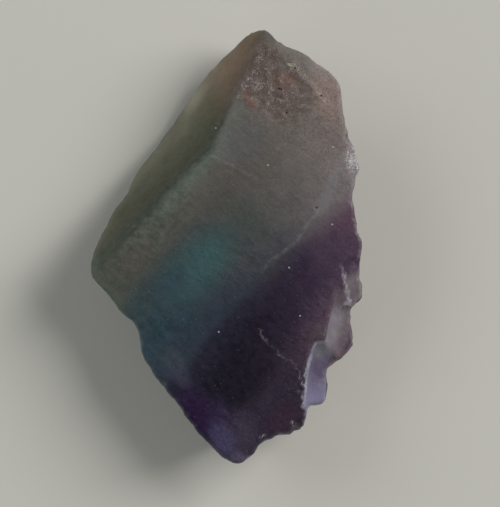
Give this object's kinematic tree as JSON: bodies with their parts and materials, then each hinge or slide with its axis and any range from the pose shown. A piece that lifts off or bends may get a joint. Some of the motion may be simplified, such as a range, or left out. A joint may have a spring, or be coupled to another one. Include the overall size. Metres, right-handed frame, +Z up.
{
  "type": "fluorite cleavage fragment",
  "caption": "Kite-shaped cleavage fragment of frosted, colour-zoned fluorite with a long bevelled side and chipped broken edges.",
  "frame": {"origin": "centre of the bounding box in plan, on the flat underside that the stone rests on", "axes": "+Y along the long diagonal of the kite, from the tip towards the apex; +Z up out of the broad top face; +X towards the chipped side"},
  "size_m": [0.0272, 0.0433, 0.0096],
  "materials": {
    "fluorite": "frosted"
  },
  "bodies": {
    "root": {"fluorite": "fluorite"}
  },
  "joints": []
}
